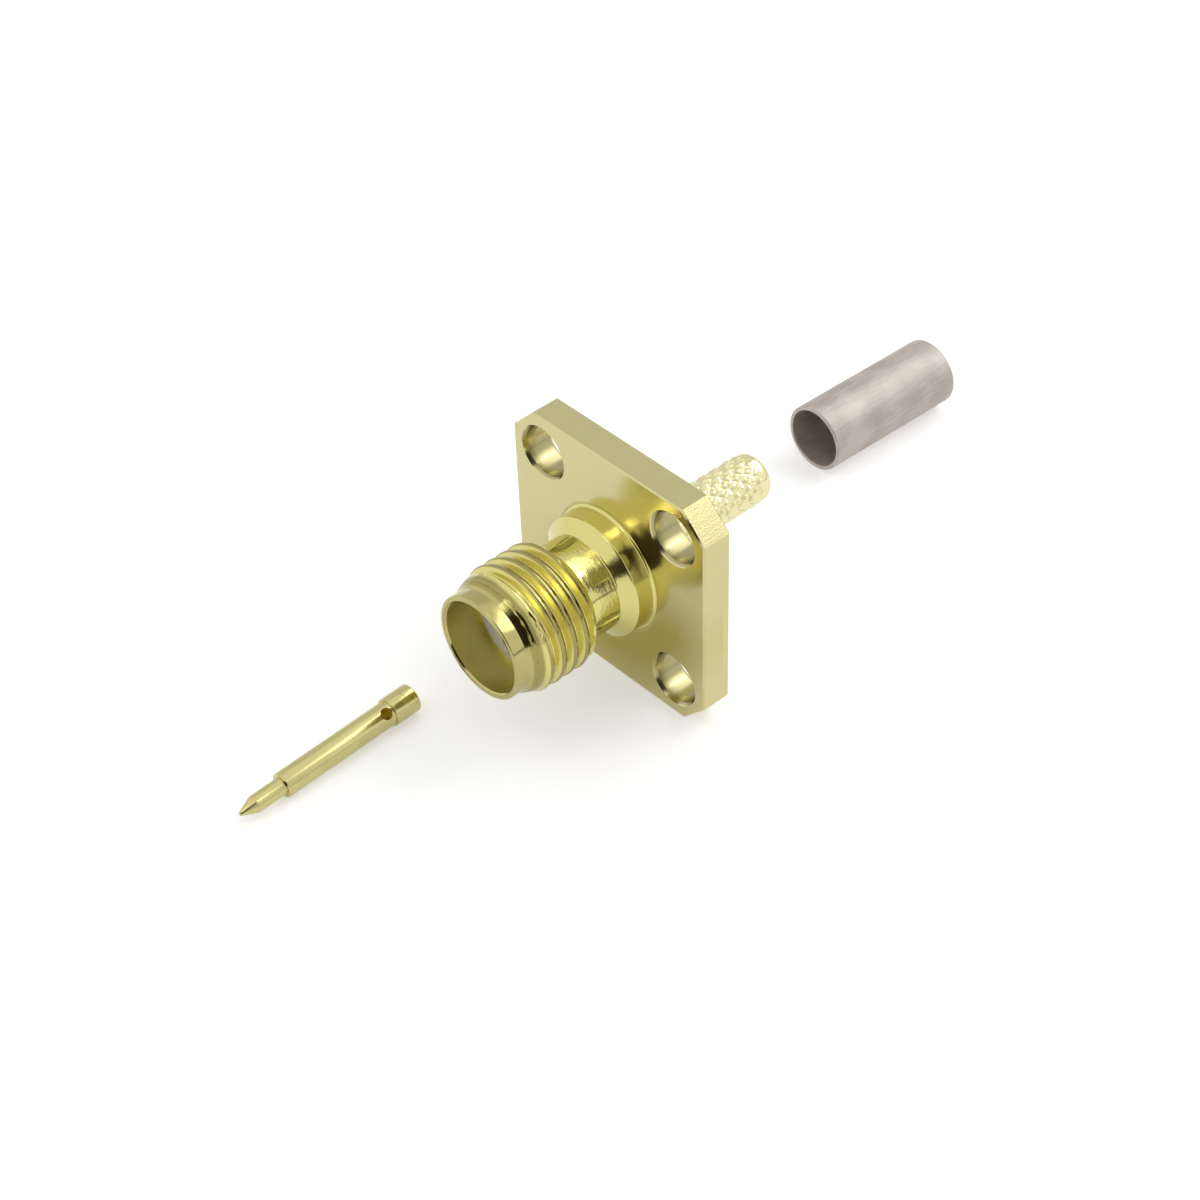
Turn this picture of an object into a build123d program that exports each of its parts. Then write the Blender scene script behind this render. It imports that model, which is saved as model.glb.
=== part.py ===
from build123d import *
import math
import os

os.makedirs("parts", exist_ok=True)

# Flange: a square plate whose corners are left from the round bar
flange_side = 12.7
flange_thickness = 1.65
flange_edge_break = 0.08
hole_inset = 2.03
hole_diameter = 2.6
hole_corner_wall = 0.64
hole_chamfer = 0.16

# Barrel in front of the flange, from the flange's front face to the mouth
jack_length = 8.0
boss_diameter = 6.3
boss_length = 1.04
boss_cone_length = 0.46
boss_fillet = 0.15
neck_wall = 0.415
lip_step = 0.155
lip_length = 0.77
lip_wall = 0.32
lip_edge_break = 0.06

# Coupling thread, drawn as rings: 36 threads to the inch on a quarter inch
thread_diameter = 6.35
thread_pitch = 25.4 / 36
thread_depth = 0.35
thread_crest = 0.2
thread_length = 3.83
thread_flank_angle = 30
thread_runout = 0.3
lead_rise = 0.21
lead_rise_length = 0.25
lead_length = 1.03

# Mouth and the bead of insulation behind it
mouth_depth = 1.9
mouth_chamfer = 0.08
mouth_shoulder = 0.29
insulator_seat_wall = 0.6
insulator_clearance = 0.01

# Knurled stem that the braid is crimped on
stem_diameter = 2.66
stem_length = 8.1
stem_shoulder = 0.9
stem_shoulder_step = 0.02
stem_end_land = 0.5
stem_end_round = 0.4
knurl_depth = 0.12
knurl_count = 14
knurl_angle = 38

# Centre contact
tip_diameter = 0.88
tip_length = 1.6
tip_cone_length = 0.85
tip_nose_diameter = 0.24
barrel_diameter = 1.27
barrel_length = 6.55
barrel_chamfer = 0.1
collar_diameter = 1.46
collar_length = 1.45
wire_bore = 0.6
wire_overrun = 0.47
window_diameter = 0.6
window_gap = 0.08
window_angle = 50
contact_clearance = 0.02
collar_clearance = 0.1

# Crimp ferrule
ferrule_length = 8.7
ferrule_wall = 0.22
ferrule_edge_break = 0.07
braid_space = 0.275

# Places of the loose pieces, which lie on the surface that the flange stands on
contact_gap = 0.8
contact_offset = -4.5
contact_yaw = 2.5
ferrule_gap = 8.3
ferrule_offset = -3.8
ferrule_yaw = -1.9

# Sizes that follow from the ones above
hole_spacing = flange_side - 2 * hole_inset
hole_circle = hole_spacing * math.sqrt(2)
flange_corner_diameter = hole_circle + hole_diameter + 2 * hole_corner_wall
lip_diameter = thread_diameter - 2 * thread_depth - 2 * lip_step
mouth_bore = lip_diameter - 2 * lip_wall
insulator_seat = mouth_bore - 2 * mouth_shoulder
insulator_diameter = insulator_seat - 2 * insulator_clearance
neck_diameter = insulator_seat + 2 * neck_wall
mouth_floor = jack_length - mouth_depth
insulator_rear = insulator_seat_wall - flange_thickness
insulator_bore = barrel_diameter + 2 * contact_clearance
stem_bore = collar_diameter + 2 * collar_clearance
stem_end = -flange_thickness - stem_length
shoulder_end = -flange_thickness - stem_shoulder
knurl_end = stem_end + stem_end_land
ferrule_bore = stem_diameter + 2 * braid_space
ferrule_diameter = ferrule_bore + 2 * ferrule_wall
window_height = collar_length + window_gap + window_diameter / 2
wire_depth = window_height + window_diameter / 2 + wire_overrun
contact_length = collar_length + barrel_length + tip_length + tip_cone_length
floor_height = -flange_side / 2


def profile(points):
    """A face beside the Z axis from (radius, height) points."""
    return Face(Wire.make_polygon([(radius, 0, height) for radius, height in points], close=True))


def turned(points):
    return revolve(profile(points), Axis.Z)


def polar(radius, angle):
    return radius * math.cos(math.radians(angle)), radius * math.sin(math.radians(angle))


# Flange plate
def make_flange():
    below = (Align.CENTER, Align.CENTER, Align.MAX)
    plate = Box(flange_side, flange_side, flange_thickness, align=below)
    plate = plate & Cylinder(flange_corner_diameter / 2, flange_thickness, align=below)
    rims = [face.outer_wire() for face in (plate.faces() | Plane.XY)]
    plate = chamfer([edge for rim in rims for edge in rim.edges()], flange_edge_break)
    drill = turned(
        [
            (0, 0),
            (hole_diameter / 2 + hole_chamfer, 0),
            (hole_diameter / 2, -hole_chamfer),
            (hole_diameter / 2, hole_chamfer - flange_thickness),
            (hole_diameter / 2 + hole_chamfer, -flange_thickness),
            (0, -flange_thickness),
        ]
    )
    for place in GridLocations(hole_spacing, hole_spacing, 2, 2):
        plate -= place * drill
    return plate


# Thread rings, from the mouth towards the flange
def thread_profile():
    flank = thread_depth * math.tan(math.radians(thread_flank_angle))
    crest_radius = thread_diameter / 2
    root_radius = crest_radius - thread_depth
    front = jack_length - lip_length
    count = int(thread_length / thread_pitch) + 1
    margin = (thread_length - (count - 1) * thread_pitch) / 2
    points = []
    for ring in range(count):
        middle = front - margin - ring * thread_pitch
        if ring > 0:
            points.append((root_radius, middle + thread_crest / 2 + flank))
        points.append((crest_radius, middle + thread_crest / 2))
        points.append((crest_radius, middle - thread_crest / 2))
        if ring < count - 1:
            points.append((root_radius, middle - thread_crest / 2 - flank))
    return points


# Barrel: boss, neck, thread and lip, with the thread's first turns cut back to a lead-in cone
def make_barrel():
    lip_radius = lip_diameter / 2
    neck_radius = neck_diameter / 2
    front = jack_length - lip_length
    outline = [
        (0, jack_length),
        (lip_radius - lip_edge_break, jack_length),
        (lip_radius, jack_length - lip_edge_break),
        (lip_radius, front),
        *thread_profile(),
        (neck_radius, front - thread_length - thread_runout),
        (neck_radius, boss_length + boss_cone_length),
        (boss_diameter / 2, boss_length),
        (boss_diameter / 2, -flange_thickness / 2),
        (0, -flange_thickness / 2),
    ]
    lead = [
        (0, jack_length),
        (lip_radius, jack_length),
        (lip_radius, front),
        (lip_radius + lead_rise, front - lead_rise_length),
        (thread_diameter / 2, front - lead_length),
        (thread_diameter / 2 + boss_diameter, front - lead_length),
        (thread_diameter / 2 + boss_diameter, -flange_thickness),
        (0, -flange_thickness),
    ]
    return revolve(profile(outline) & profile(lead), Axis.Z)


# Knurl: rows of four-sided pyramids, every second row half a pyramid round
def make_knurl():
    height = shoulder_end - knurl_end
    crest_radius = stem_diameter / 2
    width = 2 * math.pi * crest_radius / knurl_count
    rows = round(2 * height * math.tan(math.radians(knurl_angle)) / width)
    half_turn, rise = 180 / knurl_count, height / rows

    def valley(index, row):
        return Vector(*polar(crest_radius - knurl_depth, index * half_turn), knurl_end + row * rise)

    def peak(index, row):
        return Vector(*polar(crest_radius, index * half_turn), knurl_end + row * rise)

    def facet(*corners):
        return Face(Wire.make_polygon(corners, close=True))

    facets = []
    for row in range(rows + 1):
        for index in range(row % 2, 2 * knurl_count, 2):
            top, left, right = peak(index, row), valley(index - 1, row), valley(index + 1, row)
            if row < rows:
                above = valley(index, row + 1)
                facets += [facet(left, above, top), facet(above, right, top)]
            if row > 0:
                below = valley(index, row - 1)
                facets += [facet(below, left, top), facet(right, below, top)]
    for row in (0, rows):
        rim = []
        for index in range(row % 2, 2 * knurl_count, 2):
            rim += [peak(index, row), valley(index + 1, row)]
        facets.append(facet(*rim))
    return Solid(Shell(facets))


# Body: flange, barrel and stem in one turned piece
def make_body():
    body = make_flange() + make_barrel()
    foot = [
        edge
        for edge in body.edges().filter_by(GeomType.CIRCLE)
        if abs(edge.radius - boss_diameter / 2) < 0.001 and abs(edge.arc_center.Z) < 0.001
    ]
    body = fillet(foot, boss_fillet)
    land = (stem_diameter - knurl_depth) / 2
    middle = -flange_thickness / 2
    collar = stem_diameter / 2 + stem_shoulder_step
    shoulder = turned([(0, middle), (collar, middle), (collar, shoulder_end), (0, shoulder_end)])
    end = Pos(0, 0, stem_end) * Cylinder(land, stem_end_land, align=(Align.CENTER, Align.CENTER, Align.MIN))
    end_round = min(stem_end_round, 0.95 * (land - stem_bore / 2))
    end = fillet(end.edges().sort_by(Axis.Z)[0], end_round)
    body = body + shoulder + make_knurl() + end
    bore = turned(
        [
            (0, jack_length),
            (mouth_bore / 2 + mouth_chamfer, jack_length),
            (mouth_bore / 2, jack_length - mouth_chamfer),
            (mouth_bore / 2, mouth_floor),
            (insulator_seat / 2, mouth_floor),
            (insulator_seat / 2, insulator_rear),
            (stem_bore / 2, insulator_rear),
            (stem_bore / 2, stem_end),
            (0, stem_end),
        ]
    )
    return body - bore


# Insulator: a plain bead that the contact passes through
def make_insulator():
    return turned(
        [
            (insulator_bore / 2, mouth_floor),
            (insulator_diameter / 2, mouth_floor),
            (insulator_diameter / 2, insulator_rear),
            (insulator_bore / 2, insulator_rear),
        ]
    )


# Contact: rear collar at the origin, tip upwards
def make_contact():
    step = collar_length + barrel_length
    shoulder = step + tip_length
    step_break = min(barrel_chamfer, (barrel_diameter - tip_diameter) / 4)
    pin = turned(
        [
            (0, 0),
            (collar_diameter / 2, 0),
            (collar_diameter / 2, collar_length),
            (barrel_diameter / 2, collar_length),
            (barrel_diameter / 2, step - step_break),
            (barrel_diameter / 2 - step_break, step),
            (tip_diameter / 2, step),
            (tip_diameter / 2, shoulder),
            (tip_nose_diameter / 2, contact_length - tip_nose_diameter / 4),
            (tip_nose_diameter / 4, contact_length),
            (0, contact_length),
        ]
    )
    pin -= Cylinder(wire_bore / 2, wire_depth, align=(Align.CENTER, Align.CENTER, Align.MIN))
    window = Cylinder(window_diameter / 2, collar_diameter, align=(Align.CENTER, Align.CENTER, Align.MIN))
    return pin - Pos(0, 0, window_height) * Rot(0, 0, window_angle) * Rot(0, 90, 0) * window


# Ferrule: a plain tube with broken edges, near end at the origin
def make_ferrule():
    inner, outer = ferrule_bore / 2, ferrule_diameter / 2
    corner = ferrule_edge_break
    return turned(
        [
            (inner + corner, 0),
            (outer - corner, 0),
            (outer, -corner),
            (outer, corner - ferrule_length),
            (outer - corner, -ferrule_length),
            (inner + corner, -ferrule_length),
            (inner, corner - ferrule_length),
            (inner, -corner),
        ]
    )


# Turned pieces are drawn along Z and laid down with the mouth towards -Y
lay_down = Rot(90, 0, 0)
contact_place = Pos(contact_offset, -jack_length - contact_gap, floor_height + collar_diameter / 2)
ferrule_place = Pos(ferrule_offset, ferrule_gap - stem_end, floor_height + ferrule_diameter / 2)

pieces = {
    "jack_body": lay_down * make_body(),
    "insulator": lay_down * make_insulator(),
    "centre_contact": contact_place * Rot(0, 0, contact_yaw) * lay_down * make_contact(),
    "crimp_ferrule": ferrule_place * Rot(0, 0, ferrule_yaw) * lay_down * make_ferrule(),
}
for name, piece in pieces.items():
    export_step(piece, f"parts/{name}.step")
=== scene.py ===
from math import asin, cos, floor, pi, radians, sin, tan
from random import Random
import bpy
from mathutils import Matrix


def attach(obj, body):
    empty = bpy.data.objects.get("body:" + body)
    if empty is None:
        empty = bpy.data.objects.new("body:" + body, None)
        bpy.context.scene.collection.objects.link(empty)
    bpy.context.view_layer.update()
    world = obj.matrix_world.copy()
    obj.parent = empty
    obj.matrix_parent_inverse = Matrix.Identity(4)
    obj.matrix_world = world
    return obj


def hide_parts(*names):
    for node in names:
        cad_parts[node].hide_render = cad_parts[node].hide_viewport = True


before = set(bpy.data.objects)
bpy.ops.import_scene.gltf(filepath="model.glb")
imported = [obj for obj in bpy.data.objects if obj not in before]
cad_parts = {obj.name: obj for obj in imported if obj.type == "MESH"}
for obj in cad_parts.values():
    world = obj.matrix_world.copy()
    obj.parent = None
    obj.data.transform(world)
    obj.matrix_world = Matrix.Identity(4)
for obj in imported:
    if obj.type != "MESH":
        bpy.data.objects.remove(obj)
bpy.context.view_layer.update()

from types import SimpleNamespace

import bmesh
import bpy
from mathutils import Matrix, Vector
from mathutils.geometry import tessellate_polygon

# Jack body: a one-piece brass turning with a square flange, a right-hand coupling thread in front and a
# knurled crimp stem behind. It is turned from bar, the flange's sides are milled flat, its four screw
# holes are drilled and countersunk, and the whole is plated with bright gold.
MM = 0.001
SEGMENTS = 168
TURN = 2 * pi
BUMP_DEPTH = 0.01 * MM
DRAWN_SCALE = (9000.0, 700.0, 9000.0)

FLANGE_SIDE = 12.7
FLANGE_THICKNESS = 1.65
FLANGE_EDGE = 0.08
BAR_RADIUS = 8.05
HOLE_PLACE = 4.32
HOLE_RADIUS = 1.3
HOLE_SINK = 0.16
JACK_LENGTH = 8.0
MOUTH_RADIUS, MOUTH_DEPTH = 2.35, 1.9
MOUTH_CHAMFER = 0.08
LIP_RADIUS = 2.67
LIP_BREAK = 0.06
SEAT_RADIUS, SEAT_END = 2.06, -1.05
BOSS_RADIUS, BOSS_LENGTH = 3.15, 1.04
BOSS_CONE = 0.46
BOSS_FILLET = 0.15
THREAD_PITCH = 25.4 / 36
THREAD_CREST = 3.175
THREAD_ROOT = 2.82
THREAD_FRONT = 7.26
THREAD_REAR = 3.05
CREST_AHEAD, CREST_BEHIND, CREST_EASE = 0.1, 0.03, 0.04
BEVEL_LENGTH, BEVEL_SLOPE = 0.14, radians(18)
FLANK = radians(30)
NECK_RADIUS = 2.475

# Lines of (station, radius) points that run back from the mouth: how far out the thread reaches, how far its
# first crest reaches, and the cone that its first groove is filled to
LEAD_LIMIT = ((7.26, 2.67), (6.95, 2.87), (6.88, 2.845), (6.78, 2.925), (6.46, 3.015), (6.43, 3.12),
              (6.1, 3.175), (3.62, 3.175), (3.52, 2.81), (3.05, 2.475))
CREST_HEIGHT = ((7.26, 2.67), (6.95, 2.86), (6.78, 2.9), (6.55, 3.06), (6.42, 3.1), (6.1, 3.175),
                (3.05, 3.175))
LEAD_FLOOR = ((7.26, 2.67), (6.95, 2.865), (6.88, 2.84), (6.78, 2.92), (6.46, 3.01), (6.4, 3.025))
START_COLUMN, START_FADE = -51, 24
CREST_STATION = 6.381
CREST_ANGLE = radians(45)
STEM_RADIUS = 1.35
STEM_BORE = 0.83
STEM_END = -9.75
STEM_SHOULDER = -2.5
STEM_ROUND = 0.4
BORE_BREAK = 0.02
KNURL_START, KNURL_STOP = -2.55, -9.25
KNURL_TEETH = 14
KNURL_LEAD = 0.764
KNURL_ROWS = 96
KNURL_CREST, KNURL_ROOT = 1.335, 1.215
KNURL_END_RADIUS = 1.27


def turned(radius, angle, station):
    """A point on a turned piece whose axis is Y and whose mouth faces -Y, with millimetres in."""
    return Vector((radius * cos(angle), -station, radius * sin(angle))) * MM


def ring(mesh, radius, station, count=SEGMENTS):
    return [mesh.verts.new(turned(radius, TURN * k / count, station)) for k in range(count)]


def skin(mesh, front, back):
    """Faces between two rings, the first nearer the mouth on an outer surface."""
    for k in range(len(front)):
        after = (k + 1) % len(front)
        mesh.faces.new((front[k], front[after], back[after], back[k]))


def lathe(mesh, profile, count=SEGMENTS):
    rings = [ring(mesh, radius, station, count) for radius, station in profile]
    for front, back in zip(rings, rings[1:]):
        skin(mesh, front, back)
    return rings


def eased(corners, steps=3):
    """A turned profile from (radius, station, ease) corners, each ease rounding its corner."""
    profile = []
    for k, (radius, station, ease) in enumerate(corners):
        here = Vector((radius, station))
        if ease == 0:
            profile.append(tuple(here))
            continue
        before = (Vector(corners[k - 1][:2]) - here).normalized() * ease
        after = (Vector(corners[(k + 1) % len(corners)][:2]) - here).normalized() * ease
        for step in range(steps + 1):
            t = step / steps
            profile.append(tuple(here + before * (1 - t) ** 2 + after * t ** 2))
    return profile


def flat_face(mesh, loops):
    """A flat face from an outline and the loops of its holes."""
    verts = [vert for loop in loops for vert in loop]
    for corners in tessellate_polygon([[vert.co for vert in loop] for loop in loops]):
        mesh.faces.new([verts[k] for k in corners])


def flange_outline(mesh, inset, station):
    """The flange's square outline with its corners taken off."""
    half, bar = FLANGE_SIDE / 2 - inset, BAR_RADIUS - inset
    spare = asin(half / bar)
    return [mesh.verts.new(turned(bar, side * pi / 2 + angle, station))
            for side in range(4) for angle in (pi / 2 - spare, spare)]


def hole_ring(mesh, place, radius, station, count=64):
    centre = Vector((place[0], -station, place[1]))
    around = [Vector((cos(TURN * k / count), 0, sin(TURN * k / count))) * radius for k in range(count)]
    return [mesh.verts.new((centre + point) * MM) for point in around]


def finished(mesh, name, material, smooth_angle=32):
    """Turns a bmesh into a shown piece with smooth shading between its real edges."""
    bmesh.ops.remove_doubles(mesh, verts=mesh.verts, dist=1e-8)
    bmesh.ops.dissolve_degenerate(mesh, edges=mesh.edges, dist=1e-8)
    bmesh.ops.recalc_face_normals(mesh, faces=mesh.faces)
    data = bpy.data.meshes.new(name)
    mesh.to_mesh(data)
    mesh.free()
    data.shade_smooth()
    data.set_sharp_from_angle(angle=radians(smooth_angle))
    data.materials.append(material)
    piece = bpy.data.objects.new(name, data)
    bpy.context.scene.collection.objects.link(piece)
    return piece


def along(line, station):
    """The radius at a station on a line of (station, radius) points that runs back from the mouth."""
    for (front, low), (back, high) in zip(line, line[1:]):
        if back <= station <= front:
            return low + (high - low) * (front - station) / (front - back)
    return line[0][1] if station > line[0][0] else line[-1][1]


def thread_profile():
    """One cut through the thread, as (radius, distance behind the first crest): a crisp front edge, a worn
    rear edge and eased roots."""
    bevel_foot = THREAD_CREST - BEVEL_LENGTH * tan(BEVEL_SLOPE)
    front_flank = (THREAD_CREST - THREAD_ROOT) * tan(FLANK)
    rear_flank = (bevel_foot - THREAD_ROOT) * tan(FLANK)
    corners = []
    for turn in range(-2, 9):
        start = turn * THREAD_PITCH
        bevel_end = start + CREST_BEHIND + BEVEL_LENGTH
        flank_foot = start + THREAD_PITCH - CREST_AHEAD - front_flank
        corners += [(THREAD_CREST, start - CREST_AHEAD, 0.035), (THREAD_CREST, start + CREST_BEHIND, 0.03),
                    (bevel_foot, bevel_end, 0.04)]
        corners += [(bevel_foot + (THREAD_ROOT - bevel_foot) * t, bevel_end + rear_flank * t, 0)
                    for t in (0.3, 0.6)]
        corners += [(THREAD_ROOT, bevel_end + rear_flank, 0.02), (THREAD_ROOT, flank_foot, 0.02)]
        corners += [(THREAD_ROOT + (THREAD_CREST - THREAD_ROOT) * t, flank_foot + front_flank * t, 0)
                    for t in (0.35, 0.65)]
    return eased(corners)


def thread_skin(mesh):
    """The helical thread between the lip and the neck, one column for each segment. Its first groove starts
    on the hidden side, its first crest is worn down, and in front of that it is filled to a cone."""
    profile = thread_profile()
    grid = []
    for k in range(START_COLUMN, START_COLUMN + SEGMENTS + 1):
        angle = TURN * k / SEGMENTS
        lead = CREST_STATION + THREAD_PITCH * (angle - CREST_ANGLE) / TURN
        started = min(max((k - START_COLUMN) / START_FADE, 0), 1)
        column = []
        for radius, back in profile:
            inside = min(max(lead - back, THREAD_REAR), THREAD_FRONT)
            reach = min(radius, along(LEAD_LIMIT, inside))
            if -CREST_AHEAD - CREST_EASE <= back <= CREST_BEHIND + BEVEL_LENGTH + CREST_EASE:
                reach = min(reach, radius - THREAD_CREST + along(CREST_HEIGHT, lead))
            if back < -CREST_AHEAD:
                fill = started if back >= -CREST_AHEAD - THREAD_PITCH else 1
                reach += max(along(LEAD_FLOOR, inside) - reach, 0) * fill
            column.append(mesh.verts.new(turned(reach, angle, inside)))
        grid.append(column)
    for left, right in zip(grid, grid[1:]):
        for k in range(len(left) - 1):
            corners = (left[k], right[k], right[k + 1], left[k + 1])
            places = {tuple(round(value, 9) for value in corner.co) for corner in corners}
            if len(places) > 2:
                mesh.faces.new(corners)


def knurl_skin(mesh, front_ring, rear_ring):
    """Diamond knurling: two crossing sets of grooves with a rounded pillow between them."""
    pillows = Random(7)
    rise = {}
    rings = [front_ring]
    for row in range(1, KNURL_ROWS):
        station = KNURL_START + (KNURL_STOP - KNURL_START) * row / KNURL_ROWS
        run = (KNURL_START - station) / KNURL_LEAD
        fade = min(1, min(row, KNURL_ROWS - row) / 5)
        loop = []
        for k in range(SEGMENTS):
            turn = KNURL_TEETH * k / SEGMENTS
            sides = (turn + run, turn - run)
            open_way = min(1 - abs(2 * (side % 1) - 1) for side in sides)
            first, second = (floor(side) for side in sides)
            name = (first - second, (first + second) % (2 * KNURL_TEETH))
            if name not in rise:
                rise[name] = pillows.uniform(0.75, 1.0)
            pillow = (1 - (1 - open_way) ** 1.6) * rise[name]
            radius = KNURL_ROOT + (KNURL_CREST - KNURL_ROOT) * pillow
            radius = KNURL_END_RADIUS + (radius - KNURL_END_RADIUS) * fade
            loop.append(mesh.verts.new(turned(radius, TURN * k / SEGMENTS, station)))
        rings.append(loop)
    for front, back in zip(rings, rings[1:] + [rear_ring]):
        skin(mesh, front, back)


class Socket:
    """A shader socket that takes part in Python arithmetic, adding Math nodes as it goes."""

    def __init__(self, tree, link):
        self.tree, self.link = tree, link

    def maths(self, operation, *values):
        return add_node(self.tree, "ShaderNodeMath", {"operation": operation}, dict(enumerate(values)))

    def __add__(self, other):
        return self.maths("ADD", self, other)

    def __sub__(self, other):
        return self.maths("SUBTRACT", self, other)

    def __rsub__(self, other):
        return self.maths("SUBTRACT", other, self)

    def __mul__(self, other):
        return self.maths("MULTIPLY", self, other)

    def __pow__(self, other):
        return self.maths("POWER", self, other)

    def absolute(self):
        return self.maths("ABSOLUTE", self)

    def clamped(self):
        return self.maths("MAXIMUM", self.maths("MINIMUM", self, 1), 0)

    __radd__, __rmul__ = __add__, __mul__


def add_node(tree, kind, settings=None, values=None, output=0):
    """A node from its type, its settings, and the numbers or links of its inputs."""
    node = tree.nodes.new(kind)
    for name, value in (settings or {}).items():
        setattr(node, name, value)
    for name, value in (values or {}).items():
        if isinstance(value, Socket):
            tree.links.new(value.link, node.inputs[name])
        else:
            node.inputs[name].default_value = value
    return Socket(tree, node.outputs[output]) if node.outputs else None


def new_material(name):
    material = bpy.data.materials.new(name)
    material.use_nodes = True
    material.node_tree.nodes.clear()
    return material, material.node_tree


def mixed(tree, factor, low, high):
    """A colour between two others."""
    return add_node(tree, "ShaderNodeMix", {"data_type": "RGBA"}, {0: factor, 6: low, 7: high}, output=2)


BODY_GOLD = (0.49, 0.435, 0.17)
PIN_GOLD = (0.61, 0.55, 0.24)
# A darker gold for the thread, left showing on its crests.
DARKER_THREAD_GOLD = (0.37, 0.32, 0.11, 1)
SATIN_GOLD = (0.70, 0.635, 0.34, 1)
STEM_GOLD = (0.86, 0.795, 0.45, 1)
# Painted shade: a darker yellow for the flange's face below the barrel, where the floor that it reflects lies
# in the barrel's shadow.
PAINTED_SHADE_GOLD = (0.46, 0.39, 0.10, 1)
DRILLED_GOLD = (0.44, 0.40, 0.20, 1)
# Painted reflection: a deeper yellow that stands in for gold reflected in gold, in the thread's grooves, on
# the neck and boss, and inside the mouth.
PAINTED_BOUNCE_GOLD = (0.71, 0.645, 0.24, 1)
# Painted light: a bright yellow in the pin's wire bore, seen through its inspection hole, where little light
# reaches.
PAINTED_BORE_YELLOW = (0.95, 0.78, 0.2, 1)

# Where each finish, the painted shade and the painted reflection lie, as radii and as rear and front stations
# in millimetres
MOUTH_HOLLOW = (2.41, 5.9, 7.93)
SATIN_RADIUS, PAINTED_SHADE_RADIUS = 3.35, 7.2
REAR_ZONE = (-1.75, -1.2)
STEM_ZONE_FRONT = -1.8
THREAD_ZONE, THREAD_TINT_RADIUS = (3.4, 7.35), 2.75
GROOVE_ZONE, GROOVE_RADIUS = (3.7, 6.4), 3.1
NECK_ZONE, NECK_LIMIT = (1.6, 3.4), 2.6
PAINTED_BOUNCE_ZONE, PAINTED_BOUNCE_RADIUS = (-0.05, 6.66), 3.12
BOSS_ZONE_FRONT, BOSS_EXTRA = 1.1, 0.18


def above(value, limit, sharpness=20):
    """A mask of where a value is over a limit, with a soft edge."""
    return ((value - limit) * sharpness).clamped()


def below(value, limit, sharpness=20):
    return ((limit - value) * sharpness).clamped()


def gold_zones(tree, place, hollow, machined):
    """Masks of where each finish lies, and of the painted shade and painted reflections. Without machining,
    only the hollow is left.
    """
    across, along_axis, up = (
        add_node(tree, "ShaderNodeSeparateXYZ", values={0: place}, output=k) for k in range(3))
    off_axis = ((across * across + up * up) ** 0.5) * 1000
    station = along_axis * -1000
    radius, rear, front = hollow
    inner = below(off_axis, radius, 40) * below(station, front) * above(station, rear)
    on_rear = below(station, REAR_ZONE[1], 8) * above(station, REAR_ZONE[0])
    satin = (above(off_axis, SATIN_RADIUS, 8) + on_rear).clamped() * machined
    from_hole = [(value.absolute() * 1000 - HOLE_PLACE) ** 2 for value in (across, up)]
    drilled = below((from_hole[0] + from_hole[1]) ** 0.5, HOLE_RADIUS + 0.12) * satin
    # Painted shade on the flange's face: darker near the axis, lower down and not at the far left, under the
    # barrel.
    low = (0.5 - up * 350).clamped()
    not_far_left = (across * 300 + 1.4).clamped()
    painted_shade = below(off_axis, PAINTED_SHADE_RADIUS, 0.4) * low * not_far_left * satin
    painted_shade = painted_shade * (1 - on_rear) * (1 - drilled)
    threaded = above(off_axis, THREAD_TINT_RADIUS) * below(station, THREAD_ZONE[1], 10)
    threaded = threaded * above(station, THREAD_ZONE[0], 10) * (1 - satin) * machined
    groove = below(off_axis, GROOVE_RADIUS, 40) * machined
    groove = groove * above(station, GROOVE_ZONE[0]) * below(station, GROOVE_ZONE[1])
    neck = below(off_axis, NECK_LIMIT) * above(station, NECK_ZONE[0]) * below(station, NECK_ZONE[1], 10)
    boss = below(station, BOSS_ZONE_FRONT)
    # Painted reflection: the thread's flanks and roots, the neck and the boss take the deeper yellow of gold
    # reflected in gold.
    painted_bounce = below(off_axis, boss * BOSS_EXTRA + PAINTED_BOUNCE_RADIUS, 80) * machined
    painted_bounce = painted_bounce * below(station, PAINTED_BOUNCE_ZONE[1], 8) * above(station, PAINTED_BOUNCE_ZONE[0])
    return SimpleNamespace(
        off_axis=off_axis, station=station, inner=inner, satin=satin, drilled=drilled, painted_shade=painted_shade,
        threaded=threaded, groove=groove, neck=neck * machined,
        deep=(painted_bounce + inner).clamped() * (1 - satin), stem=below(station, STEM_ZONE_FRONT) * machined)


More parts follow.
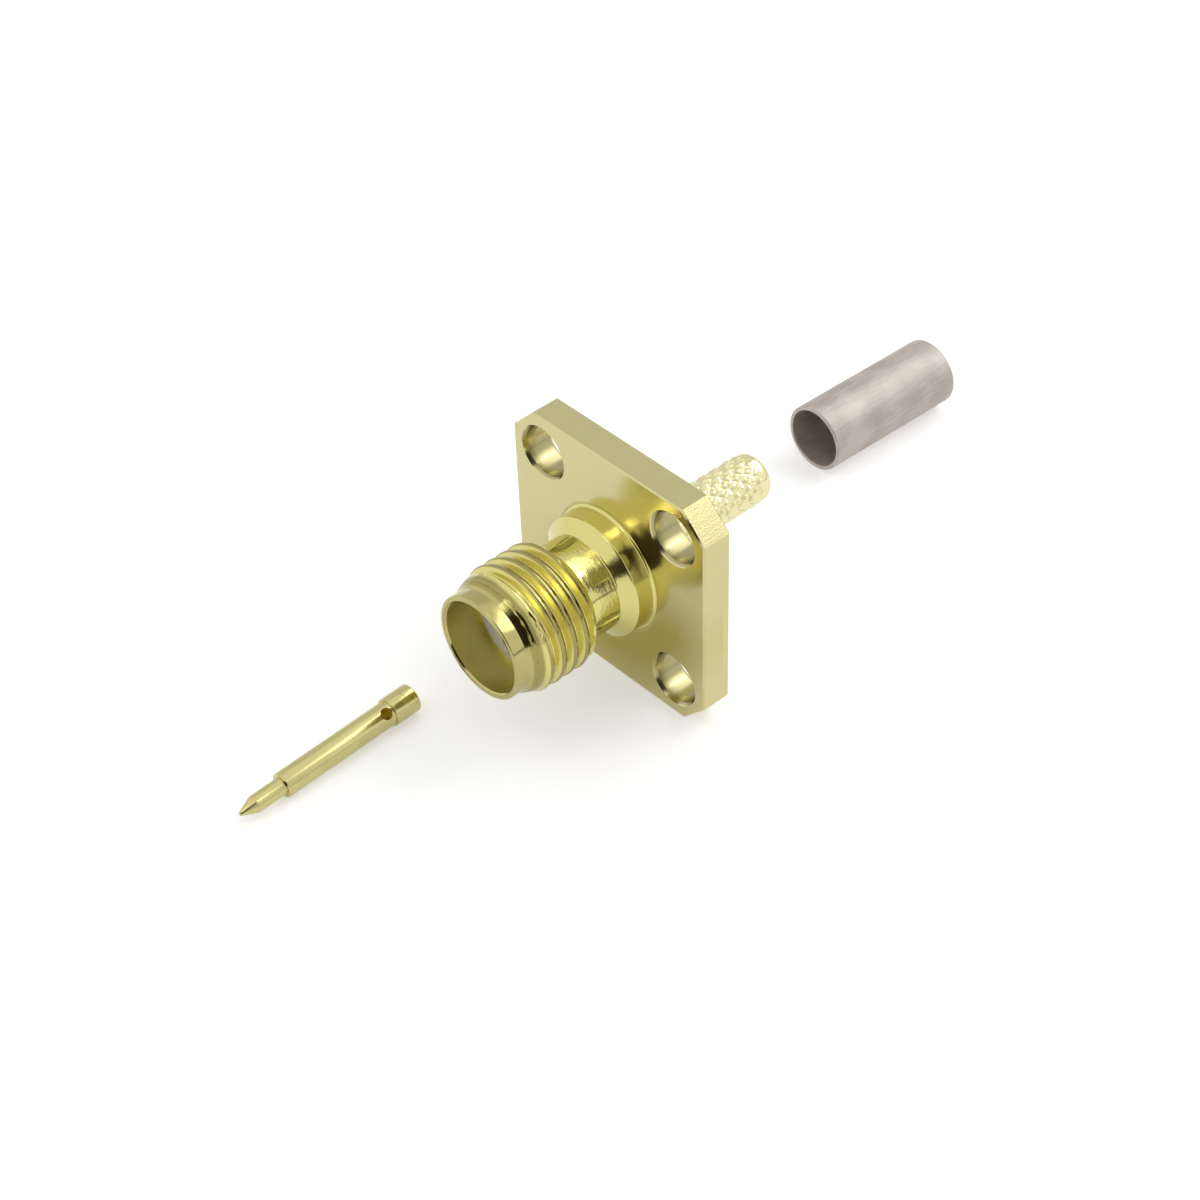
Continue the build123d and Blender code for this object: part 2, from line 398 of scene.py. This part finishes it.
def bright_gold(name, colour, roughness, grain, hollow, machined, centre=(0, 0, 0), yaw=0):
    """Gold over brass: fine tool marks round the axis, small dents and a soft cloud in the polish. Inside the
    hollow, which is a radius with its rear and front stations, the metal is left rough and painted a deeper
    yellow, a painted reflection of the gold around it. On the machined body the flange and the stem are a
    paler satin, the thread's crests are a darker gold, the flange's face below the barrel carries painted
    shade, and in the thread, on the neck and on the boss a deeper yellow is painted as the reflection of gold
    in gold."""
    material, tree = new_material(name)
    place = add_node(tree, "ShaderNodeTexCoord", output=3)
    place = add_node(tree, "ShaderNodeMapping", {"vector_type": "TEXTURE"},
                     {"Vector": place, "Location": centre, "Rotation": (0, 0, yaw)})
    zone = gold_zones(tree, place, hollow, machined)
    lines = add_node(tree, "ShaderNodeCombineXYZ",
                     values={0: zone.off_axis * 14, 1: zone.station * 14, 2: 0.0})
    marks = add_node(tree, "ShaderNodeTexNoise", {"noise_dimensions": "3D"},
                     {"Vector": lines, "Scale": 1.0, "Detail": 3.0, "Roughness": 0.6})
    feed = add_node(tree, "ShaderNodeVectorMath", {"operation": "MULTIPLY"}, {0: place, 1: DRAWN_SCALE})
    milled = add_node(tree, "ShaderNodeTexNoise", values={"Vector": feed, "Scale": 1.0, "Detail": 2.0})
    cloud = add_node(tree, "ShaderNodeTexNoise", values={"Vector": place, "Scale": 900.0, "Detail": 4.0})
    dents = add_node(tree, "ShaderNodeTexNoise", values={"Vector": place, "Scale": 4500.0, "Detail": 1.0})
    specks = add_node(tree, "ShaderNodeTexNoise", values={"Vector": place, "Scale": 11000.0, "Detail": 2.0})

    rubbed = tuple(min(1, value * 1.06 + 0.02) for value in colour)
    tint = mixed(tree, ((cloud - 0.4) * 2.5).clamped(), (*colour, 1), (*rubbed, 1))
    # Each tint is mixed over the gold in turn: the satin, the stem, the painted shade, the darker thread, the
    # drilled holes, the painted gold-on-gold reflection and the painted yellow in the pin's bore.
    for part, shade in ((zone.satin * (1 - zone.drilled) * 0.8, SATIN_GOLD), (zone.stem, STEM_GOLD),
                        (zone.painted_shade, PAINTED_SHADE_GOLD), (zone.threaded, DARKER_THREAD_GOLD), (zone.drilled, DRILLED_GOLD),
                        (zone.deep, PAINTED_BOUNCE_GOLD), (zone.inner * (1 - machined), PAINTED_BORE_YELLOW)):
        tint = mixed(tree, part, tint, shade)
    height = marks * grain * (1 - zone.satin) + dents * (0.6 - zone.satin * 0.4 + zone.neck * 1.4)
    height = height + specks * (zone.satin * 0.6 + 0.5) + milled * zone.satin * 0.5
    bump = add_node(tree, "ShaderNodeBump",
                    values={"Strength": 0.26, "Distance": BUMP_DEPTH, "Height": height})
    dulled = zone.satin * 0.04 + zone.drilled * 0.1 + zone.groove * 0.12 + zone.inner * 0.27
    finish = add_node(tree, "ShaderNodeBsdfPrincipled", values={
        "Base Color": tint, "Metallic": 1.0, "Normal": bump,
        "Roughness": cloud * 0.08 + specks * 0.06 + dulled + (roughness - 0.07)})
    add_node(tree, "ShaderNodeOutputMaterial", values={"Surface": finish})
    return material


mesh = bmesh.new()
barrel_rear = lathe(mesh, [
    (NECK_RADIUS, THREAD_REAR),
    *eased([(NECK_RADIUS, 2.4, 0), (NECK_RADIUS, BOSS_LENGTH + BOSS_CONE, 0.06),
            (BOSS_RADIUS, BOSS_LENGTH, 0.06), (BOSS_RADIUS, 0.5, 0)]),
    *((BOSS_RADIUS + BOSS_FILLET * (1 - cos(pi / 2 * k / 6)), BOSS_FILLET * (1 - sin(pi / 2 * k / 6)))
      for k in range(7)),
])
seat_front = JACK_LENGTH - MOUTH_DEPTH
lathe(mesh, eased([
    (SEAT_RADIUS, SEAT_END, 0), (SEAT_RADIUS, seat_front, 0.03), (MOUTH_RADIUS, seat_front, 0),
    (MOUTH_RADIUS, JACK_LENGTH - 0.1, 0), (MOUTH_RADIUS + MOUTH_CHAMFER, JACK_LENGTH, 0.03),
    (LIP_RADIUS - LIP_BREAK, JACK_LENGTH, 0.06), (LIP_RADIUS, JACK_LENGTH - LIP_BREAK, 0.03),
    (LIP_RADIUS, 7.5, 0), (LIP_RADIUS, THREAD_FRONT, 0)]))
thread_skin(mesh)

rear_foot = ring(mesh, STEM_RADIUS, -FLANGE_THICKNESS)
shoulder = lathe(mesh, [(STEM_RADIUS, -FLANGE_THICKNESS), (STEM_RADIUS, STEM_SHOULDER),
                        (KNURL_END_RADIUS, KNURL_START)])
stem_tail = lathe(mesh, [
    (KNURL_END_RADIUS, KNURL_STOP), (KNURL_END_RADIUS, STEM_END + STEM_ROUND),
    *((KNURL_END_RADIUS - STEM_ROUND * (1 - cos(pi / 2 * k / 8)),
       STEM_END + STEM_ROUND * (1 - sin(pi / 2 * k / 8))) for k in range(1, 9)),
    (STEM_BORE + BORE_BREAK, STEM_END), (STEM_BORE, STEM_END + BORE_BREAK),
    (STEM_BORE, SEAT_END), (SEAT_RADIUS, SEAT_END)])
knurl_skin(mesh, shoulder[-1], stem_tail[0])

front_loops = [flange_outline(mesh, FLANGE_EDGE, 0)]
rear_loops = [flange_outline(mesh, FLANGE_EDGE, -FLANGE_THICKNESS)]
sides = [front_loops[0], flange_outline(mesh, 0, -FLANGE_EDGE),
         flange_outline(mesh, 0, FLANGE_EDGE - FLANGE_THICKNESS), rear_loops[0]]
for front, back in zip(sides, sides[1:]):
    skin(mesh, front, back)
hole_profile = eased([
    (HOLE_RADIUS + HOLE_SINK, 0, 0), (HOLE_RADIUS, -HOLE_SINK, 0.03),
    (HOLE_RADIUS, HOLE_SINK - FLANGE_THICKNESS, 0.03), (HOLE_RADIUS + HOLE_SINK, -FLANGE_THICKNESS, 0)])
for x in (-HOLE_PLACE, HOLE_PLACE):
    for z in (-HOLE_PLACE, HOLE_PLACE):
        wall = [hole_ring(mesh, (x, z), radius, station) for radius, station in hole_profile]
        for front, back in zip(wall, wall[1:]):
            skin(mesh, front, back)
        front_loops.append(wall[0])
        rear_loops.append(wall[-1])
flat_face(mesh, [*front_loops, barrel_rear[-1]])
flat_face(mesh, [*rear_loops, rear_foot])

body_gold = bright_gold("bright_gold_on_brass", BODY_GOLD, 0.11, 1.0, MOUTH_HOLLOW, 1.0)
jack_body = finished(mesh, "jack_body_turned", body_gold)
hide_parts("jack_body")
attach(jack_body, "root")

# Insulator: a bead of natural white fluoropolymer pushed into the body from behind. It is turned from rod,
# so its face has faint rings, and light goes a little way into it.
material, tree = new_material("natural_fluoropolymer")
place = add_node(tree, "ShaderNodeTexCoord", output=3)
cloud = add_node(tree, "ShaderNodeTexNoise", values={"Vector": place, "Scale": 1500.0, "Detail": 3.0})
rings = add_node(tree, "ShaderNodeTexWave", {"wave_type": "RINGS", "rings_direction": "Y"},
                 {"Vector": place, "Scale": 2600.0, "Distortion": 0.6})
# Cream tint: partly the bead's own off-white, partly a painted reflection of the gold around it.
milk = mixed(tree, cloud, (0.79, 0.75, 0.68, 1), (0.86, 0.84, 0.79, 1))
bump = add_node(tree, "ShaderNodeBump",
                values={"Strength": 0.12, "Distance": BUMP_DEPTH, "Height": rings + cloud})
finish = add_node(tree, "ShaderNodeBsdfPrincipled", values={
    "Base Color": milk, "Roughness": cloud * 0.1 + 0.38, "Normal": bump, "IOR": 1.35,
    "Subsurface Weight": 0.3, "Subsurface Radius": (0.0006, 0.0006, 0.0005), "Subsurface Scale": 1.0})
add_node(tree, "ShaderNodeOutputMaterial", values={"Surface": finish})
for part_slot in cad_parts["insulator"].material_slots:
    part_slot.material = material

# Centre contact: a gold-plated brass pin that is soldered or crimped to the cable's wire before it goes into
# the insulator. It is turned with a pointed tip and a collar, bored from behind, and cross-drilled so that
# the wire can be seen.
CONTACT_PLACE = Vector((-4.5, -8.8, -6.35 + 0.73)) * MM
CONTACT_YAW = radians(2.5)
COLLAR_RADIUS, BARREL_RADIUS, TIP_RADIUS = 0.73, 0.635, 0.44
COLLAR_LENGTH, BARREL_END, TIP_END, CONTACT_LENGTH = 1.45, 8.0, 9.6, 10.45
WIRE_BORE, WIRE_DEPTH = 0.3, 2.61
WINDOW_STATION, WINDOW_ANGLE = 1.83, radians(50)
DRILL_PROFILE = ((0.3, 0.0), (0.3, 0.6), (0.36, 0.66), (0.36, 1.2))
HAIRLINE, HAIRLINE_DEPTH, HAIRLINE_WIDTH = 0.62, 0.025, 0.03
NOSE_RADIUS = 0.12
WIRE_HOLLOW = (0.61, 0.04, 2.7)
PIN_SEGMENTS = 96

mesh = bmesh.new()
pin = lathe(mesh, eased([
    (WIRE_BORE, WIRE_DEPTH, 0), (WIRE_BORE, 0.03, 0.02), (WIRE_BORE + 0.03, 0, 0),
    (COLLAR_RADIUS - 0.03, 0, 0), (COLLAR_RADIUS, 0.03, 0.02),
    (COLLAR_RADIUS, HAIRLINE - HAIRLINE_WIDTH / 2, 0), (COLLAR_RADIUS, HAIRLINE, 0),
    (COLLAR_RADIUS, HAIRLINE + HAIRLINE_WIDTH / 2, 0), (COLLAR_RADIUS, COLLAR_LENGTH, 0.03),
    (BARREL_RADIUS, COLLAR_LENGTH, 0.015), (BARREL_RADIUS, 1.5, 0), (BARREL_RADIUS, 2.16, 0),
    (BARREL_RADIUS, 2.2, 0), (BARREL_RADIUS, BARREL_END, 0.09),
    (TIP_RADIUS, BARREL_END, 0.02), (TIP_RADIUS, TIP_END, 0.05),
    (NOSE_RADIUS, CONTACT_LENGTH - 0.06, 0.05), (NOSE_RADIUS / 2, CONTACT_LENGTH, 0)]), PIN_SEGMENTS)
for loop in pin:
    for k, vert in enumerate(loop):
        if abs(vert.co.y + HAIRLINE * MM) < 1e-6:
            depth = HAIRLINE_DEPTH * max(0, cos(TURN * k / PIN_SEGMENTS - radians(80)))
            vert.co = turned(COLLAR_RADIUS - depth, TURN * k / PIN_SEGMENTS, HAIRLINE)
mesh.faces.new(pin[0])
mesh.faces.new(pin[-1])
gold_pin = bright_gold(
    "bright_gold_on_pin", PIN_GOLD, 0.18, 0.5, WIRE_HOLLOW, 0.0, CONTACT_PLACE, CONTACT_YAW)
centre_contact = finished(mesh, "centre_contact_turned", gold_pin)

mesh = bmesh.new()
drill = [[mesh.verts.new(Vector((radius * cos(TURN * k / 48), radius * sin(TURN * k / 48), height)) * MM)
          for k in range(48)] for radius, height in DRILL_PROFILE]
for front, back in zip(drill, drill[1:]):
    skin(mesh, front, back)
mesh.faces.new(drill[0])
mesh.faces.new(drill[-1])
cutter = finished(mesh, "inspection_drill", gold_pin)
outward = turned(1, WINDOW_ANGLE, 0).normalized()
drill_turn = outward.to_track_quat("Z", "Y").to_matrix().to_4x4()
cutter.matrix_world = Matrix.Translation(turned(0, 0, WINDOW_STATION)) @ drill_turn
cut = centre_contact.modifiers.new("inspection hole", "BOOLEAN")
cut.operation, cut.solver, cut.object = "DIFFERENCE", "EXACT", cutter
bpy.context.view_layer.update()
depsgraph = bpy.context.evaluated_depsgraph_get()
drilled = bpy.data.meshes.new_from_object(centre_contact.evaluated_get(depsgraph))
centre_contact.modifiers.clear()
bpy.data.objects.remove(cutter)
centre_contact.data = drilled
drilled.transform(Matrix.Translation(CONTACT_PLACE) @ Matrix.Rotation(CONTACT_YAW, 4, "Z"))
drilled.set_sharp_from_angle(angle=radians(32))
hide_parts("centre_contact")
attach(centre_contact, "root")

# Crimp ferrule: a short length of drawn brass tube with a satin nickel finish. Its ends are parted off and
# tumbled round, and it is slid over the cable's braid and crimped onto the knurled stem.
FERRULE_PLACE = Vector((-3.8, 18.05, -6.35 + 1.825)) * MM
FERRULE_YAW = radians(-1.9)
FERRULE_OUTER, FERRULE_INNER, FERRULE_LENGTH = 1.825, 1.605, 8.7
DULL_NICKEL, BRIGHT_NICKEL = (0.49, 0.445, 0.405, 1), (0.60, 0.545, 0.50, 1)

mesh = bmesh.new()
tube = eased([(FERRULE_OUTER, -FERRULE_LENGTH, 0.1), (FERRULE_OUTER, 0, 0.1), (FERRULE_INNER, 0, 0.06),
              (FERRULE_INNER, -FERRULE_LENGTH, 0.06)], 4)
walls = lathe(mesh, tube)
skin(mesh, walls[-1], walls[0])

material, tree = new_material("satin_nickel_on_tube")
place = add_node(tree, "ShaderNodeTexCoord", output=3)
drawn = add_node(tree, "ShaderNodeVectorMath", {"operation": "MULTIPLY"}, {0: place, 1: DRAWN_SCALE})
streaks = add_node(tree, "ShaderNodeTexNoise", values={"Vector": drawn, "Scale": 1.0, "Detail": 3.0})
grains = add_node(tree, "ShaderNodeTexNoise", values={"Vector": place, "Scale": 14000.0, "Detail": 2.0})
cloud = add_node(tree, "ShaderNodeTexNoise", values={"Vector": place, "Scale": 600.0, "Detail": 4.0})
warm = mixed(tree, ((cloud + streaks - 0.85) * 3).clamped(), DULL_NICKEL, BRIGHT_NICKEL)
bump = add_node(tree, "ShaderNodeBump",
                values={"Strength": 0.5, "Distance": BUMP_DEPTH, "Height": streaks + grains * 0.8})
finish = add_node(tree, "ShaderNodeBsdfPrincipled", values={
    "Base Color": warm, "Metallic": 1.0, "Roughness": streaks * 0.2 + grains * 0.14 + 0.42, "Normal": bump})
add_node(tree, "ShaderNodeOutputMaterial", values={"Surface": finish})
crimp_ferrule = finished(mesh, "crimp_ferrule_drawn", material)
crimp_ferrule.data.transform(Matrix.Translation(FERRULE_PLACE) @ Matrix.Rotation(FERRULE_YAW, 4, "Z"))
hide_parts("crimp_ferrule")
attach(crimp_ferrule, "root")

# Floor: a plain white table top, a sheet of matt board under the pieces. The camera and the metal see it as
# white, more so far from the pieces, and it keeps a soft shadow under them.
def seen_rays(tree, in_metal=1.0):
    """One for a ray from the camera, in_metal for one that the metal reflects, nothing for other light."""
    camera_ray, glossy_ray, through_ray = (
        add_node(tree, "ShaderNodeLightPath", output=name)
        for name in ("Is Camera Ray", "Is Glossy Ray", "Is Transmission Ray"))
    return (camera_ray + glossy_ray * in_metal + through_ray).clamped()


FLOOR_HEIGHT = -6.35 * MM
FLOOR_REACH = 1.5
FLOOR_LIFT, FAR_LIFT = 0.42, 0.6
FAR_FROM = 0.06
FLOOR_GAP = 0.01 * MM
corners = [(x * FLOOR_REACH, y * FLOOR_REACH, 0) for x, y in ((-1, -1), (1, -1), (1, 1), (-1, 1))]
floor_mesh = bpy.data.meshes.new("floor")
floor_mesh.from_pydata(corners, [], [(0, 1, 2, 3)])
table_top = bpy.data.objects.new("floor", floor_mesh)
table_top.location.z = FLOOR_HEIGHT - FLOOR_GAP
bpy.context.scene.collection.objects.link(table_top)
material, tree = new_material("white_table")
matt = add_node(tree, "ShaderNodeBsdfDiffuse", values={"Color": (0.88, 0.88, 0.88, 1)})
place = add_node(tree, "ShaderNodeTexCoord", output=3)
far = add_node(tree, "ShaderNodeVectorMath", {"operation": "LENGTH"}, {0: place}, output=1)
far = above(far, FAR_FROM, 8)
lift = add_node(tree, "ShaderNodeEmission", values={
    "Color": seen_rays(tree, 0.7) * FLOOR_LIFT + seen_rays(tree, 0.0) * far * FAR_LIFT, "Strength": 1.0})
both = add_node(tree, "ShaderNodeAddShader", values={0: matt, 1: lift})
add_node(tree, "ShaderNodeOutputMaterial", values={"Surface": both})
floor_mesh.materials.append(material)

# Light: a white room, a softbox and a bare lamp high behind the connector, a small lamp high in front of it,
# pale flags at its sides, and a dark curtain and the table's dark far edge, which the polished metal shows
# as its dark accents.
world = bpy.data.worlds.new("white_room")
bpy.context.scene.world = world
world.use_nodes = True
tree = world.node_tree
tree.nodes.clear()
room = add_node(tree, "ShaderNodeBackground",
                values={"Color": (1, 1, 1, 1), "Strength": seen_rays(tree) * 0.3 + 0.7})
add_node(tree, "ShaderNodeOutputWorld", values={"Surface": room})


def softbox(name, azimuth, elevation, distance, width, height, radiance):
    """A soft lamp aimed at the connector; azimuth 0 is in front of the mouth, 90 to its right."""
    a, e = radians(azimuth), radians(elevation)
    away = Vector((sin(a) * cos(e), -cos(a) * cos(e), sin(e)))
    lamp = bpy.data.lights.new(name, "AREA")
    lamp.shape, lamp.size, lamp.size_y = "RECTANGLE", width, height
    lamp.energy = radiance * pi * width * height
    holder = bpy.data.objects.new(name, lamp)
    holder.location = away * distance
    holder.rotation_mode = "QUATERNION"
    holder.rotation_quaternion = away.to_track_quat("Z", "Y")
    bpy.context.scene.collection.objects.link(holder)


softbox("rear_softbox", 161, 51, 0.5, 0.5, 0.25, 1.55)
softbox("bare_lamp", 147, 51.5, 0.48, 0.035, 0.035, 22)
softbox("front_lamp", -6, 61, 0.5, 0.11, 0.09, 2.2)


def studio_panel(name, azimuths, elevations, distance, colour, cover, soft=0.2):
    """A curved cloth round the connector, thin towards its edges, which the camera doesn't see."""
    cloth_mesh = bpy.data.meshes.new(name)
    columns, rows = 25, 17
    points, weights = [], []
    for j in range(rows):
        for i in range(columns):
            u, v = i / (columns - 1), j / (rows - 1)
            a = radians(azimuths[0] + (azimuths[1] - azimuths[0]) * u)
            e = radians(elevations[0] + (elevations[1] - elevations[0]) * v)
            points.append(Vector((sin(a) * cos(e), -cos(a) * cos(e), sin(e))) * distance)
            weights.append(cover * min(1, min(u, 1 - u, 1 - v) / soft))
    faces = [(k, k + 1, k + columns + 1, k + columns)
             for j in range(rows - 1) for k in range(j * columns, (j + 1) * columns - 1)]
    cloth_mesh.from_pydata(points, [], faces)
    cloth_mesh.attributes.new("cover", "FLOAT", "POINT").data.foreach_set("value", weights)
    material, tree = new_material(name + "_cloth")
    thickness = add_node(tree, "ShaderNodeAttribute", {"attribute_name": "cover"}, output="Fac")
    weave = add_node(tree, "ShaderNodeBsdfDiffuse", values={"Color": (*colour, 1)})
    gap = add_node(tree, "ShaderNodeBsdfTransparent")
    cloth = add_node(tree, "ShaderNodeMixShader", values={0: thickness, 1: gap, 2: weave})
    add_node(tree, "ShaderNodeOutputMaterial", values={"Surface": cloth})
    cloth_mesh.materials.append(material)
    hanging = bpy.data.objects.new(name, cloth_mesh)
    bpy.context.scene.collection.objects.link(hanging)
    hanging.visible_camera = False


studio_panel("dark_curtain", (6, 68), (-0.4, 55), 0.6, (0.07, 0.05, 0.045), 1.0, 0.08)
studio_panel("side_flag", (62, 110), (-0.4, 72), 0.64, (0.9, 0.9, 0.9), 0.65)
studio_panel("left_flag", (-175, -80), (-0.4, 56), 0.64, (0.9, 0.9, 0.9), 0.6)
studio_panel("table_edge", (100, 195), (-0.4, 3.5), 0.58, (0.12, 0.11, 0.1), 0.8, 0.02)

# Camera: a long lens above and in front of the mouth, at the photograph's place and angle. The dark
# curtain hangs well behind it, and everything is in focus.
CAMERA_PLACE = Vector((65.553, -58.308, 76.587)) * MM
CAMERA_RIGHT = Vector((0.67867, 0.73393, -0.02723))
CAMERA_FORWARD = Vector((-0.55888, 0.49204, -0.6675))
lens = bpy.data.cameras.new("camera")
lens.lens, lens.sensor_width = 74.86, 36
lens.clip_start, lens.clip_end = 0.005, 10
camera = bpy.data.objects.new("camera", lens)
camera_up = CAMERA_RIGHT.cross(CAMERA_FORWARD)
camera.matrix_world = Matrix.Translation(CAMERA_PLACE) @ Matrix(
    (CAMERA_RIGHT, camera_up, -CAMERA_FORWARD)).transposed().to_4x4()
bpy.context.scene.collection.objects.link(camera)
bpy.context.scene.camera = camera
bpy.context.scene.view_settings.view_transform = "Standard"
